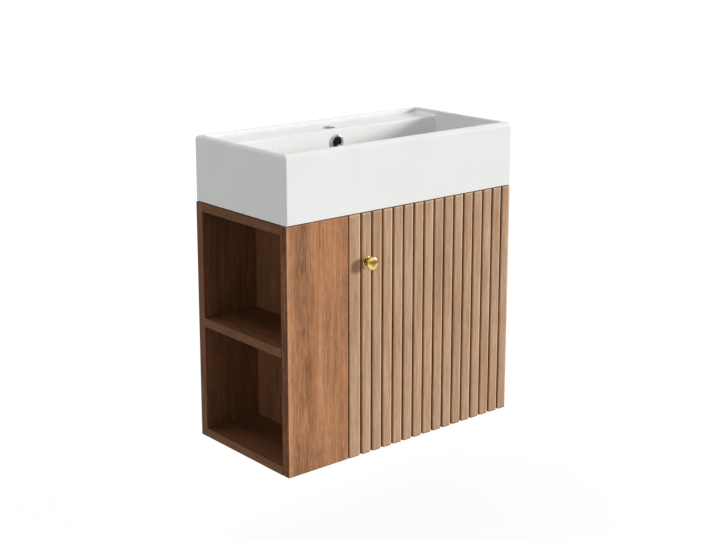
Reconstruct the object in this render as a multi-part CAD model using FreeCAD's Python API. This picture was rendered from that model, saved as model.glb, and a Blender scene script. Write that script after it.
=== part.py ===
import FreeCAD, Part
import os
from math import floor, hypot, sin, tan

Vector = FreeCAD.Vector

# Overall sizes of the unit, in millimetres
# X runs along the front to the right, Y runs back to the wall at 0, Z runs up from the underside
width = 600.0
depth = 300.0
cabinet_height = 500.0
basin_height = 134.5
joint_gap = 2.0

# Boards of the cabinet
board = 18.0
front_board = 20.0
back_board = 20.0
niche_width = 149.5
shelf_height = 240.0
front_rail_depth = 50.0
panel_edge_round = 1.5

# Door and its fluted face
door_gap = 3.0
door_reveal = 1.0
slat_width = 21.9
groove_width = 6.0
groove_depth = 5.0
slat_round = 2.0
door_edge_round = 2.0

# Knob
knob_height = 401.0
knob_base_radius = 10.9
knob_base_length = 3.0
knob_neck_radius = 5.5
knob_neck_length = 10.0
knob_head_radius = 13.5
knob_head_length = 8.0
knob_edge_round = 1.5
knob_face_round = 4.0
knob_dish_depth = 1.0
knob_lip = 4.5
knob_screw_radius = 2.0
knob_screw_bite = 9.0
knob_screw_head = 2.0
knob_screw_head_radius = 4.0

# Ceramic basin
rim = 15.0
rim_inner_round = 2.0
basin_top_round = 9.0
basin_corner_round = 4.0
bowl_corner_round = 8.0
bowl_floor_round = 7.0
floor_thickness = 16.0
deck_drop = 11.0
deck_depth = 66.5
deck_thickness = 12.0
deck_edge_round = 6.0
bowl_back_wall = 8.0
tap_hole_radius = 16.0
tap_to_wall = 52.0
waste_hole_radius = 23.0
waste_seat_radius = 33.0
waste_seat_depth = 3.0

# Overflow ring in the bowl's back wall
overflow_drop = 39.0
ring_radius = 17.0
ring_sleeve_radius = 13.2
ring_bore_radius = 11.75
ring_flange = 3.0
ring_round = 1.2

# Sealant between the basin and the cabinet
bead_inset = 4.0
bead_width = 8.0

# Cut-out for pipes and holes for the wall screws in the back panel
service_width = 170.0
service_height = 120.0
service_bottom = 240.0
service_corner = 15.0
wall_hole_radius = 3.25
wall_hole_spacing_x = 350.0
wall_hole_spacing_z = 380.0
wall_hole_side_margin = 42.0
wall_hole_bottom = 60.0

# Dowels and screws that hold the boards together
dowel_radius = 4.0
dowel_face_depth = 8.0
dowel_edge_depth = 20.0
dowel_end_margin = 50.0
dowel_stagger = 40.0
screw_radius = 2.0
screw_head_radius = 4.0
screw_length = 45.0
fit_clearance = 0.05
end_clearance = 0.5

# Concealed hinges of the door
hinge_end_distance = 90.0
cup_radius = 17.5
cup_edge = 2.5
cup_skin = 2.0
cup_wall = 1.0
cup_clearance = 0.1
cup_flange = 1.2
cup_flange_radius = 19.0
cup_flange_trim = 4.0
cup_ear_width = 10.0
cup_ear_length = 29.0
cup_screw_spacing = 48.0
cup_screw_offset = 6.0
cup_screw_length = 9.0
cup_screw_radius = 1.75
pin_edge = 7.0
pin_floor = 3.5
pin_radius = 1.25
pin_length = 19.0
pin_press_clearance = 0.02
knuckle_radius = 2.5
lug_gap = 0.7
lug_width = 4.0
arm_thickness = 2.5
arm_height = 9.0
arm_length = 60.0
arm_bend_round = 2.0
arm_screw_radius = 2.5
arm_screw_head_radius = 4.5
arm_screw_head = 2.5
arm_screw_setback = 48.0
plate_thickness = 3.0
plate_bar_height = 16.0
plate_front = 6.0
plate_wing_height = 46.0
plate_wing_width = 14.0
plate_screw_setback = 37.0
plate_screw_spacing = 32.0
plate_screw_length = 14.0
swing_clearance = 0.8

# Magnetic catch and the rubber buffers of the door
catch_width = 14.0
catch_length = 40.0
catch_height = 20.0
catch_drop = 50.0
catch_gap = 0.5
magnet_width = 9.0
magnet_length = 5.0
magnet_height = 14.0
strike_thickness = 1.5
strike_height = 30.0
strike_screw_length = 11.5
catch_screw_length = 23.0
catch_screw_margin = 12.0
buffer_radius = 5.0
buffer_inset = 20.0
buffer_clearance = 0.2

# Planes worked out from the sizes above
left = -width / 2
right = width / 2
front = -depth
divider_right = left + niche_width
divider_left = divider_right - board
side_inner = right - board
back_inner = -back_board
basin_bottom = cabinet_height + joint_gap
basin_top = basin_bottom + basin_height
deck_level = basin_top - deck_drop
bowl_floor = basin_bottom + floor_thickness
bowl_back = -rim - deck_depth
front_inner = front + front_board
door_left = divider_right + door_gap
door_right = right - door_reveal
door_back = front_inner
cup_depth = front_board - groove_depth - cup_skin
pin_depth = cup_depth - cup_wall - pin_floor
pin_x = door_right - pin_edge
pin_y = door_back - pin_depth
cup_x = door_right - cup_edge - cup_radius
edge_swing = hypot(pin_edge - door_edge_round, pin_depth - door_edge_round) + door_edge_round
carcass_front = door_back + edge_swing - pin_depth + swing_clearance
hinge_heights = {"lower": hinge_end_distance, "upper": cabinet_height - hinge_end_distance}
slat_pitch = slat_width + groove_width
first_slat = (door_right - door_left - slat_width) % slat_pitch + slat_width
knob_x = door_left + first_slat + groove_width + slat_width / 2
overshoot = 1.0


def box(x0, x1, y0, y1, z0, z1):
    """Block between two corners."""
    return Part.makeBox(x1 - x0, y1 - y0, z1 - z0, Vector(x0, y0, z0))


def rod(radius, start, end):
    """Round bar from one point to another."""
    return Part.makeCylinder(radius, (end - start).Length, start, end - start)


def outline(corners):
    """Flat face through the corners, each rounded by the radius given with it."""
    edges = []
    ends = []
    for index, (point, radius) in enumerate(corners):
        to_last = (corners[index - 1][0] - point).normalize()
        to_next = (corners[(index + 1) % len(corners)][0] - point).normalize()
        if not radius:
            ends.append((point, point))
            continue
        half_angle = to_last.getAngle(to_next) / 2
        tangent = radius / tan(half_angle)
        middle = point + (to_last + to_next).normalize() * (radius / sin(half_angle) - radius)
        ends.append((point + to_last * tangent, point + to_next * tangent))
        edges.append(Part.Arc(ends[-1][0], middle, ends[-1][1]).toShape())
    for index, (start, end) in enumerate(ends):
        edges.append(Part.makeLine(ends[index - 1][1], start))
    return Part.Face(Part.Wire(Part.__sortEdges__(edges)))


def turned(profile, origin, direction):
    """Solid of revolution: profile is (distance along direction, radius, rounding) about that line."""
    points = [(Vector(radius, 0, along), rounding) for along, radius, rounding in profile]
    solid = outline(points).revolve(Vector(0, 0, 0), Vector(0, 0, 1), 360)
    turn = FreeCAD.Rotation(Vector(0, 0, 1), direction)
    solid.Placement = FreeCAD.Placement(origin, turn)
    return solid


def edges_where(shape, test):
    """Edges of a shape whose every vertex passes the test."""
    return [edge for edge in shape.Edges if all(test(vertex.Point) for vertex in edge.Vertexes)]


def near(value, target):
    """True when two lengths agree."""
    return abs(value - target) < 1e-4


# Basin: a box with rounded top edges, a bowl, a lowered tap deck and a hollow under the deck
def basin_block():
    plan = outline([(Vector(x, y, basin_bottom), basin_corner_round)
                    for x, y in ((left, front), (right, front), (right, 0), (left, 0))])
    front_view = outline([(Vector(left, front, basin_bottom), 0), (Vector(right, front, basin_bottom), 0),
                          (Vector(right, front, basin_top), basin_top_round),
                          (Vector(left, front, basin_top), basin_top_round)])
    side_view = outline([(Vector(left, front, basin_bottom), 0), (Vector(left, 0, basin_bottom), 0),
                         (Vector(left, 0, basin_top), basin_top_round),
                         (Vector(left, front, basin_top), basin_top_round)])
    block = plan.extrude(Vector(0, 0, basin_height))
    block = block.common(front_view.extrude(Vector(0, depth, 0)))
    return block.common(side_view.extrude(Vector(width, 0, 0)))


def bowl_space():
    """Room inside the bowl, up through the rim."""
    plan = outline([(Vector(left + rim, front + rim, bowl_floor), bowl_corner_round),
                    (Vector(right - rim, front + rim, bowl_floor), bowl_corner_round),
                    (Vector(right - rim, bowl_back, bowl_floor), 0),
                    (Vector(left + rim, bowl_back, bowl_floor), 0)])
    space = plan.extrude(Vector(0, 0, basin_top - bowl_floor))
    return space.makeFillet(bowl_floor_round, edges_where(space, lambda p: near(p.z, bowl_floor)))


def deck_space():
    """Room above the tap deck, joined to the bowl's own room."""
    plan = outline([(Vector(left + rim, bowl_back, deck_level), 0),
                    (Vector(right - rim, bowl_back, deck_level), 0),
                    (Vector(right - rim, -rim, deck_level), bowl_corner_round),
                    (Vector(left + rim, -rim, deck_level), bowl_corner_round)])
    return plan.extrude(Vector(0, 0, deck_drop))


waste_y = (front + rim + bowl_back) / 2
ring_z = basin_top - overflow_drop
tap_y = -tap_to_wall

basin = basin_block().cut([bowl_space(), deck_space()]).removeSplitter()
basin = basin.makeFillet(rim_inner_round, edges_where(
    basin, lambda p: near(p.z, basin_top) and right - abs(p.x) > rim - overshoot / 2
    and min(p.y - front, -p.y) > rim - overshoot / 2))
basin = basin.makeFillet(deck_edge_round, edges_where(
    basin, lambda p: near(p.z, deck_level) and near(p.y, bowl_back)))
under_deck = box(left + rim, right - rim, bowl_back + bowl_back_wall, -rim,
                 basin_bottom - overshoot, deck_level - deck_thickness)
basin = basin.cut([
    under_deck,
    rod(tap_hole_radius, Vector(0, tap_y, deck_level - deck_thickness - overshoot),
        Vector(0, tap_y, deck_level + overshoot)),
    rod(waste_hole_radius, Vector(0, waste_y, basin_bottom - overshoot), Vector(0, waste_y, bowl_floor)),
    rod(waste_seat_radius, Vector(0, waste_y, bowl_floor - waste_seat_depth), Vector(0, waste_y, bowl_floor)),
    rod(ring_sleeve_radius + fit_clearance, Vector(0, bowl_back - overshoot, ring_z),
        Vector(0, bowl_back + bowl_back_wall + overshoot, ring_z))])

overflow_ring = turned([(0, ring_bore_radius, 0), (0, ring_sleeve_radius, 0),
                        (bowl_back_wall, ring_sleeve_radius, 0), (bowl_back_wall, ring_radius, 0),
                        (bowl_back_wall + ring_flange, ring_radius, ring_round),
                        (bowl_back_wall + ring_flange, ring_bore_radius, ring_round)],
                       Vector(0, bowl_back + bowl_back_wall, ring_z), Vector(0, -1, 0))


# Sealant: one bead along every top edge of the cabinet that carries the basin
def bead_run(x0, x1, y0, y1):
    return box(x0, x1, y0, y1, cabinet_height, basin_bottom)


bead_end = bead_inset + bead_width
sealant_bead = bead_run(left + bead_inset, left + bead_end, front + bead_inset, -bead_inset).fuse([
    bead_run(left + bead_inset, right - bead_inset, -bead_end, -bead_inset),
    bead_run(right - bead_end, right - bead_inset, carcass_front + bead_inset, -bead_inset),
    bead_run(left + bead_inset, divider_right - bead_inset, front + bead_inset, front + bead_end),
    bead_run(divider_right - bead_end, divider_right - bead_inset, front + bead_inset,
             carcass_front + bead_end),
    bead_run(divider_right - bead_end, right - bead_inset, carcass_front + bead_inset,
             carcass_front + bead_end)]).removeSplitter()

# Boards of the cabinet, before they are drilled
def front_panel():
    plan = outline([(Vector(left, front_inner, 0), 0), (Vector(left, front, 0), panel_edge_round),
                    (Vector(divider_right, front, 0), panel_edge_round),
                    (Vector(divider_right, front_inner, 0), 0)])
    return plan.extrude(Vector(0, 0, cabinet_height))


shelf_top = shelf_height + board
top_underside = cabinet_height - board
boards = {
    "back_panel": box(left, side_inner, back_inner, 0, 0, cabinet_height),
    "niche_front_panel": front_panel(),
    "divider_panel": box(divider_left, divider_right, front_inner, back_inner, 0, cabinet_height),
    "niche_bottom_panel": box(left, divider_left, front_inner, back_inner, 0, board),
    "niche_shelf": box(left, divider_left, front_inner, back_inner, shelf_height, shelf_top),
    "niche_top_panel": box(left, divider_left, front_inner, back_inner, top_underside, cabinet_height),
    "right_side_panel": box(side_inner, right, carcass_front, 0, 0, cabinet_height),
    "cabinet_bottom_panel": box(divider_right, side_inner, carcass_front, back_inner, 0, board),
    "front_rail": box(divider_right, side_inner, carcass_front, carcass_front + front_rail_depth,
                      top_underside, cabinet_height),
}

# Openings cut through the back panel: one for pipes, four for wall screws
service_x = (divider_right + side_inner) / 2
service_cut = outline([(Vector(x, back_inner - overshoot, z), service_corner)
                       for x, z in ((service_x - service_width / 2, service_bottom),
                                    (service_x + service_width / 2, service_bottom),
                                    (service_x + service_width / 2, service_bottom + service_height),
                                    (service_x - service_width / 2, service_bottom + service_height))])
wall_hole_right = side_inner - wall_hole_side_margin
wall_holes = [rod(wall_hole_radius, Vector(x, back_inner - overshoot, z), Vector(x, overshoot, z))
              for x in (wall_hole_right - wall_hole_spacing_x, wall_hole_right)
              for z in (wall_hole_bottom, wall_hole_bottom + wall_hole_spacing_z)]
boards["back_panel"] = boards["back_panel"].cut(
    [service_cut.extrude(Vector(0, back_board + 2 * overshoot, 0))] + wall_holes)

dowels = []
screws = []
drillings = []


def add_dowel(face_point, into_face):
    """Dowel across a joint: into_face points from the butted edge into the other board's face."""
    start = face_point - into_face * (dowel_edge_depth - end_clearance)
    end = face_point + into_face * (dowel_face_depth - end_clearance)
    dowels.append(rod(dowel_radius, start, end))
    drillings.append(rod(dowel_radius + fit_clearance, start - into_face * end_clearance,
                         end + into_face * end_clearance))


def countersunk(head_point, inward, radius, head_radius, length, clearance):
    """Countersunk screw, or its hole when there is a clearance."""
    head_depth = head_radius - radius
    tip = length + (end_clearance if clearance else 0)
    return turned([(0, 0, 0), (0, head_radius + clearance, 0), (head_depth, radius + clearance, 0),
                   (tip, radius + clearance, 0), (tip, 0, 0)], head_point, inward)


def add_back_screw(x, z):
    """Screw from the wall side through the back panel into the edge of a board."""
    head = Vector(x, 0, z)
    inward = Vector(0, -1, 0)
    screws.append(countersunk(head, inward, screw_radius, screw_head_radius, screw_length, 0))
    drillings.append(countersunk(head, inward, screw_radius, screw_head_radius, screw_length, fit_clearance))


niche_middle = (left + divider_left) / 2
divider_middle = (divider_left + divider_right) / 2
board_run = (front_inner + dowel_end_margin, back_inner - dowel_end_margin)
level_middles = (board / 2, shelf_height + board / 2, cabinet_height - board / 2)
for level in level_middles:
    for y in board_run:
        add_dowel(Vector(divider_left, y, level), Vector(1, 0, 0))
    add_dowel(Vector(niche_middle, front_inner, level), Vector(0, -1, 0))
    add_back_screw(niche_middle, level)
for y in (board_run[0] + dowel_stagger, board_run[1] - dowel_stagger):
    add_dowel(Vector(divider_right, y, board / 2), Vector(-1, 0, 0))
    add_dowel(Vector(side_inner, y, board / 2), Vector(1, 0, 0))
rail_middle = carcass_front + front_rail_depth / 2
add_dowel(Vector(divider_right, rail_middle, level_middles[2]), Vector(-1, 0, 0))
add_dowel(Vector(side_inner, rail_middle, level_middles[2]), Vector(1, 0, 0))
for z in (dowel_end_margin, (shelf_top + top_underside) / 2):
    add_dowel(Vector(divider_middle, front_inner, z), Vector(0, -1, 0))
    add_back_screw(divider_middle, z)
for z in (dowel_end_margin, cabinet_height / 2, cabinet_height - dowel_end_margin):
    add_dowel(Vector(side_inner, back_inner / 2, z), Vector(1, 0, 0))
for x in (divider_right + dowel_end_margin, side_inner - dowel_end_margin):
    add_back_screw(x, board / 2)

# Door: fluted front as one outline, extruded up the height of the door
door_width = door_right - door_left
groove_count = floor((door_width - slat_width) / slat_pitch)


def fluted_outline():
    corners = [(Vector(door_left, door_back, 0), 0), (Vector(door_left, front, 0), slat_round)]
    for index in range(groove_count):
        groove_right = door_right - slat_width - (groove_count - 1 - index) * slat_pitch
        groove_left = groove_right - groove_width
        corners += [(Vector(groove_left, front, 0), slat_round),
                    (Vector(groove_left, front + groove_depth, 0), 0),
                    (Vector(groove_right, front + groove_depth, 0), 0),
                    (Vector(groove_right, front, 0), slat_round)]
    corners += [(Vector(door_right, front, 0), slat_round),
                (Vector(door_right, door_back, 0), door_edge_round)]
    return outline(corners)


door_panel = fluted_outline().extrude(Vector(0, 0, cabinet_height))
door_holes = []

# Knob: turned in one piece, held by a screw from inside the door
knob_face = knob_base_length + knob_neck_length + knob_head_length
knob_point = Vector(knob_x, front, knob_height)
outward = Vector(0, -1, 0)
door_knob = turned([(0, 0, 0), (0, knob_base_radius, 0),
                    (knob_base_length, knob_base_radius, knob_edge_round),
                    (knob_base_length, knob_neck_radius, knob_edge_round),
                    (knob_base_length + knob_neck_length, knob_neck_radius, knob_edge_round),
                    (knob_base_length + knob_neck_length, knob_head_radius, knob_edge_round),
                    (knob_face, knob_head_radius, knob_face_round),
                    (knob_face, knob_head_radius - knob_lip, 0),
                    (knob_face - knob_dish_depth, 0, 0)], knob_point, outward)
knob_bore_end = Vector(knob_x, front - knob_screw_bite - end_clearance, knob_height)
knob_bore = rod(knob_screw_radius + fit_clearance, Vector(knob_x, door_back, knob_height), knob_bore_end)
door_knob = door_knob.cut(knob_bore)
door_holes.append(knob_bore)
knob_screw = turned([(0, 0, 0), (0, knob_screw_head_radius, 0),
                     (knob_screw_head, knob_screw_head_radius, knob_screw_head / 2),
                     (knob_screw_head, 0, 0)], Vector(knob_x, door_back, knob_height), Vector(0, 1, 0))
knob_screw = knob_screw.fuse(rod(knob_screw_radius, Vector(knob_x, door_back, knob_height),
                                 Vector(knob_x, front - knob_screw_bite, knob_height))).removeSplitter()


# Hinges: a cup and pin on the door, an arm and plate on the right side panel
def hinge_cup(z):
    rim_point = Vector(cup_x, door_back, z)
    bottom = Vector(cup_x, door_back - cup_depth, z)
    cup = rod(cup_radius, bottom, rim_point)
    flange = rod(cup_flange_radius, rim_point, rim_point + Vector(0, cup_flange, 0))
    ear_x = cup_x - cup_screw_offset
    flange = flange.fuse(box(ear_x - cup_ear_width / 2, ear_x + cup_ear_width / 2, door_back,
                             door_back + cup_flange, z - cup_ear_length, z + cup_ear_length))
    trim_x = pin_x + cup_flange_trim
    flange = flange.cut(box(trim_x, trim_x + cup_flange_radius, door_back - overshoot,
                            door_back + cup_flange + overshoot, z - cup_flange_radius, z + cup_flange_radius))
    hollow = rod(cup_radius - cup_wall, bottom + Vector(0, cup_wall, 0),
                 rim_point + Vector(0, cup_flange + overshoot, 0))
    lug_start = arm_height / 2 + lug_gap
    for side in (-1, 1):
        lug_low, lug_high = sorted((z + side * lug_start, z + side * cup_radius))
        lug = box(pin_x - lug_width, door_right, door_back - cup_depth, pin_y + lug_width, lug_low, lug_high)
        hollow = hollow.cut(lug)
    cup = cup.fuse(flange).cut(hollow)
    screw_seats = [cup_screw(x_seat, z_seat, fit_clearance) for x_seat, z_seat in cup_screw_points(z)]
    pin_bore = rod(pin_radius + pin_press_clearance, Vector(pin_x, pin_y, z - cup_radius),
                   Vector(pin_x, pin_y, z + cup_radius))
    return cup.cut(screw_seats + [pin_bore]).removeSplitter()


def cup_screw_points(z):
    return [(cup_x - cup_screw_offset, z + side * cup_screw_spacing / 2) for side in (-1, 1)]


def cup_screw(x, z, clearance):
    """Small screw through the cup's flange into the door."""
    head = Vector(x, door_back + cup_flange, z)
    return countersunk(head, Vector(0, -1, 0), cup_screw_radius, cup_screw_radius + cup_flange,
                       cup_screw_length, clearance)


def hinge_pin(z):
    return rod(pin_radius, Vector(pin_x, pin_y, z - pin_length / 2), Vector(pin_x, pin_y, z + pin_length / 2))


plate_face = side_inner - plate_thickness
arm_face = plate_face - arm_thickness


def hinge_arm(z):
    low = z - arm_height / 2
    high = z + arm_height / 2
    strap = outline([(Vector(arm_face, carcass_front + arm_length, low), 0),
                     (Vector(arm_face, pin_y - arm_thickness / 2, low), arm_bend_round),
                     (Vector(pin_x, pin_y - arm_thickness / 2, low), 0),
                     (Vector(pin_x, pin_y + arm_thickness / 2, low), 0),
                     (Vector(plate_face, pin_y + arm_thickness / 2, low), 0),
                     (Vector(plate_face, carcass_front + arm_length, low), 0)])
    arm = strap.extrude(Vector(0, 0, arm_height))
    arm = arm.fuse(rod(knuckle_radius, Vector(pin_x, pin_y, low), Vector(pin_x, pin_y, high)))
    pin_bore = rod(pin_radius + fit_clearance, Vector(pin_x, pin_y, low - overshoot),
                   Vector(pin_x, pin_y, high + overshoot))
    return arm.cut([pin_bore, arm_screw_shank(z, fit_clearance)]).removeSplitter()


def arm_screw_shank(z, clearance):
    y = carcass_front + arm_screw_setback
    return rod(arm_screw_radius + clearance, Vector(arm_face, y, z), Vector(side_inner, y, z))


def arm_screw(z):
    head_seat = Vector(arm_face, carcass_front + arm_screw_setback, z)
    head = turned([(0, 0, 0), (0, arm_screw_head_radius, 0),
                   (arm_screw_head, arm_screw_head_radius, arm_screw_head / 2), (arm_screw_head, 0, 0)],
                  head_seat, Vector(-1, 0, 0))
    return head.fuse(arm_screw_shank(z, 0)).removeSplitter()


def plate_screw(z, clearance):
    head = Vector(plate_face, carcass_front + plate_screw_setback, z)
    return countersunk(head, Vector(1, 0, 0), screw_radius, screw_head_radius, plate_screw_length, clearance)


def plate_screw_heights(z):
    return [z + side * plate_screw_spacing / 2 for side in (-1, 1)]


def hinge_plate(z):
    bar = box(plate_face, side_inner, carcass_front + plate_front, carcass_front + arm_length,
              z - plate_bar_height / 2, z + plate_bar_height / 2)
    wing_y = carcass_front + plate_screw_setback
    wing = box(plate_face, side_inner, wing_y - plate_wing_width / 2, wing_y + plate_wing_width / 2,
               z - plate_wing_height / 2, z + plate_wing_height / 2)
    holes = [plate_screw(height, fit_clearance) for height in plate_screw_heights(z)]
    return bar.fuse(wing).cut(holes + [arm_screw_shank(z, fit_clearance)]).removeSplitter()


hinge_parts = {}
cup_screws = []
arm_screws = []
plate_screws = []
for place, z in hinge_heights.items():
    hinge_parts["hinge_cup_" + place] = hinge_cup(z)
    hinge_parts["hinge_pin_" + place] = hinge_pin(z)
    hinge_parts["hinge_arm_" + place] = hinge_arm(z)
    hinge_parts["hinge_plate_" + place] = hinge_plate(z)
    arm_screws.append(arm_screw(z))
    plate_screws += [plate_screw(height, 0) for height in plate_screw_heights(z)]
    drillings += [plate_screw(height, fit_clearance) for height in plate_screw_heights(z)]
    cup_screws += [cup_screw(x_seat, z_seat, 0) for x_seat, z_seat in cup_screw_points(z)]
    door_holes += [cup_screw(x_seat, z_seat, fit_clearance) for x_seat, z_seat in cup_screw_points(z)]
    door_holes.append(rod(cup_radius + cup_clearance, Vector(cup_x, door_back - cup_depth - cup_clearance, z),
                          Vector(cup_x, door_back + overshoot, z)))

# Magnetic catch on the divider, with its strike plate on the back of the door
catch_top = top_underside - catch_drop
catch_middle = catch_top - catch_height / 2
strike_face = door_back + strike_thickness
catch_front = strike_face + catch_gap
catch_inner = divider_right + catch_width
catch_back = catch_front + catch_length
magnet_x0 = divider_right + (catch_width - magnet_width) / 2
catch_magnet = box(magnet_x0, magnet_x0 + magnet_width, catch_front, catch_front + magnet_length,
                   catch_middle - magnet_height / 2, catch_middle + magnet_height / 2)
magnet_catch = box(divider_right, catch_inner, catch_front, catch_back, catch_top - catch_height, catch_top)


def catch_screw(y, clearance):
    head = Vector(catch_inner, y, catch_middle)
    return countersunk(head, Vector(-1, 0, 0), screw_radius, screw_head_radius, catch_screw_length, clearance)


catch_screw_places = (catch_front + catch_screw_margin, catch_back - catch_screw_margin)
catch_screws = [catch_screw(y, 0) for y in catch_screw_places]
catch_drillings = [catch_screw(y, fit_clearance) for y in catch_screw_places]
drillings += catch_drillings
magnet_catch = magnet_catch.cut(catch_drillings + [catch_magnet])
strike_x = door_left + catch_width / 2
strike_seat = Vector(strike_x, strike_face, catch_middle)
strike_hole = countersunk(strike_seat, outward, cup_screw_radius, cup_screw_radius + strike_thickness,
                          strike_screw_length, fit_clearance)
strike_screw = countersunk(strike_seat, outward, cup_screw_radius, cup_screw_radius + strike_thickness,
                           strike_screw_length, 0)
catch_strike = box(door_left, door_left + catch_width, door_back, strike_face,
                   catch_middle - strike_height / 2, catch_middle + strike_height / 2).cut(strike_hole)
door_holes.append(strike_hole)

# Rubber buffers on the back of the door, opposite the front rail and the bottom panel
buffer_thickness = carcass_front - door_back - buffer_clearance
buffer_x = door_left + buffer_inset
buffer_face = door_back + buffer_thickness
buffers = [rod(buffer_radius, Vector(buffer_x, door_back, z), Vector(buffer_x, buffer_face, z))
           for z in (board / 2, cabinet_height - board / 2)]

nodes = {name: solid.cut(drillings).removeSplitter() for name, solid in boards.items()}
nodes.update(hinge_parts)
nodes.update({
    "basin": basin,
    "overflow_ring": overflow_ring,
    "sealant_bead": sealant_bead,
    "assembly_dowels": Part.makeCompound(dowels),
    "back_panel_screws": Part.makeCompound(screws),
    "door_panel": door_panel.cut(door_holes),
    "door_knob": door_knob,
    "knob_screw": knob_screw,
    "hinge_cup_screws": Part.makeCompound(cup_screws),
    "hinge_arm_screws": Part.makeCompound(arm_screws),
    "hinge_plate_screws": Part.makeCompound(plate_screws),
    "magnet_catch": magnet_catch,
    "catch_magnet": catch_magnet,
    "catch_screws": Part.makeCompound(catch_screws),
    "catch_strike": catch_strike,
    "strike_screw": strike_screw,
    "door_buffers": Part.makeCompound(buffers),
})

os.makedirs("parts", exist_ok=True)
for name, shape in nodes.items():
    shape.exportStep("parts/" + name + ".step")
    volume = sum(solid.Volume for solid in shape.Solids)
    state = "valid" if shape.isValid() else "BAD"
    print(name, len(shape.Solids), "solids", round(volume / 1000, 2), "cm3", state)
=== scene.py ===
# %% [markdown]
# # A wall-hung vanity unit
# The unit is a white ceramic basin on a brown wooden cabinet. At the left the cabinet has an open niche, and
# the rest is closed by a fluted door with a brass knob. The solids come from the CAD frame, so every piece
# made here is put straight onto its sizes. All lengths are in metres, X runs to the right along the front,
# Y runs back into the wall and Z runs up.

# %% Load the frame
import math

import bmesh
import bpy
from mathutils import Matrix, Vector


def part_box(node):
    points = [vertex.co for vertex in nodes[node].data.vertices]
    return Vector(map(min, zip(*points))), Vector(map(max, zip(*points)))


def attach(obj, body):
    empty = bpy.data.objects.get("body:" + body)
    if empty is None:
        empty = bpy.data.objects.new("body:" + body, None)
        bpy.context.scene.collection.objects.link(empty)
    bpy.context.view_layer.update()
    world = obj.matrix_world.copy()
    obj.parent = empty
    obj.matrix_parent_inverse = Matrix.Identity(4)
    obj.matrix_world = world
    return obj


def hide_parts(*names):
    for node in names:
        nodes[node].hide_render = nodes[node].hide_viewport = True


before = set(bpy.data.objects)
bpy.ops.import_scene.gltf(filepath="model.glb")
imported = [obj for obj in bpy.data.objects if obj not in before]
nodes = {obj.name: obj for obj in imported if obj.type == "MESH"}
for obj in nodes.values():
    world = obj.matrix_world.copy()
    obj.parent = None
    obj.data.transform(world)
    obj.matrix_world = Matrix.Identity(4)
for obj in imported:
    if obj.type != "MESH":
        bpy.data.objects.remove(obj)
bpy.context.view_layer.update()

MM = 0.001

# %% [markdown]
# ## The camera
# The unit is seen from its front left corner and a little from above. A camera can be placed by eye, but its
# place, turn and lens here were worked out from the unit's corners. The small downward shift lets the camera
# stand more level, which keeps the upright edges nearly parallel, as a lens that slides down does.

# %% Camera
EYE_PLACE = (-1.8004, -2.2885, 1.1047)
EYE_DIP, EYE_TURN = 12.431, -40.112
SENSOR_WIDTH, LENS, SHIFT = 36.0, 69.23, -0.10
eye_data = bpy.data.cameras.new("eye")
eye_data.sensor_width = SENSOR_WIDTH
eye_data.lens = LENS
eye_data.shift_y = SHIFT
eye = bpy.data.objects.new("eye", eye_data)
eye.location = EYE_PLACE
eye.rotation_euler = (math.radians(90 - EYE_DIP), 0, math.radians(EYE_TURN))
bpy.context.scene.collection.objects.link(eye)
bpy.context.scene.camera = eye
bpy.context.scene.view_settings.view_transform = "Standard"
print("camera at", EYE_PLACE, "lens", LENS, "mm")

# %% [markdown]
# ## Nodes written as Python
# Materials and Geometry Nodes are both graphs of nodes. They could be wired by hand one socket at a time,
# which is long to read. Here one small class wraps a socket, so that sums can be written as plain
# expressions, and one method makes every other node from its type, its settings and its inputs.

# %% Sockets and graphs
class Link:
    """An output socket. Arithmetic on it adds Math nodes to its graph."""

    def __init__(self, graph, socket):
        self.graph = graph
        self.socket = socket

    def __add__(self, other):
        return self.graph.maths("ADD", self, other)

    def __sub__(self, other):
        return self.graph.maths("SUBTRACT", self, other)

    def __rsub__(self, other):
        return self.graph.maths("SUBTRACT", other, self)

    def __mul__(self, other):
        return self.graph.maths("MULTIPLY", self, other)

    def __truediv__(self, other):
        return self.graph.maths("DIVIDE", self, other)

    __radd__ = __add__
    __rmul__ = __mul__


class Graph:
    """A node tree with one method that adds any node."""

    def __init__(self, tree):
        self.tree = tree

    def node(self, kind, settings=None, inputs=None, out=0):
        """A node of a kind. Its settings come first, then the values and links of its inputs."""
        made = self.tree.nodes.new(kind)
        for key, value in (settings or {}).items():
            if key == "stops":
                ramp = made.color_ramp.elements
                while len(ramp) < len(value):
                    ramp.new(1.0)
                for element, (position, colour) in zip(ramp, value):
                    element.position = position
                    element.color = (*colour, 1.0)
            else:
                setattr(made, key, value)
        for key, value in (inputs or {}).items():
            for item in value if isinstance(value, list) else [value]:
                if isinstance(item, Link):
                    self.tree.links.new(item.socket, made.inputs[key])
                else:
                    made.inputs[key].default_value = item
        return Link(self, made.outputs[out]) if made.outputs else made

    def maths(self, operation, *values):
        return self.node("ShaderNodeMath", {"operation": operation}, dict(enumerate(values)))


print("graph helpers ready")

# %% [markdown]
# ## Finishes
# A finish is a material: its colour, gloss and fine relief. Painting them as pictures would tie them to one
# size, so each is worked out from the place of a point on the object. Noise drawn out along one axis makes
# wood grain, and noise with no direction makes the slight unevenness of glaze and metal.

# %% Finish class
MIX_FACTOR, MIX_FIRST, MIX_SECOND, MIX_COLOUR = 0, 6, 7, 2


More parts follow.
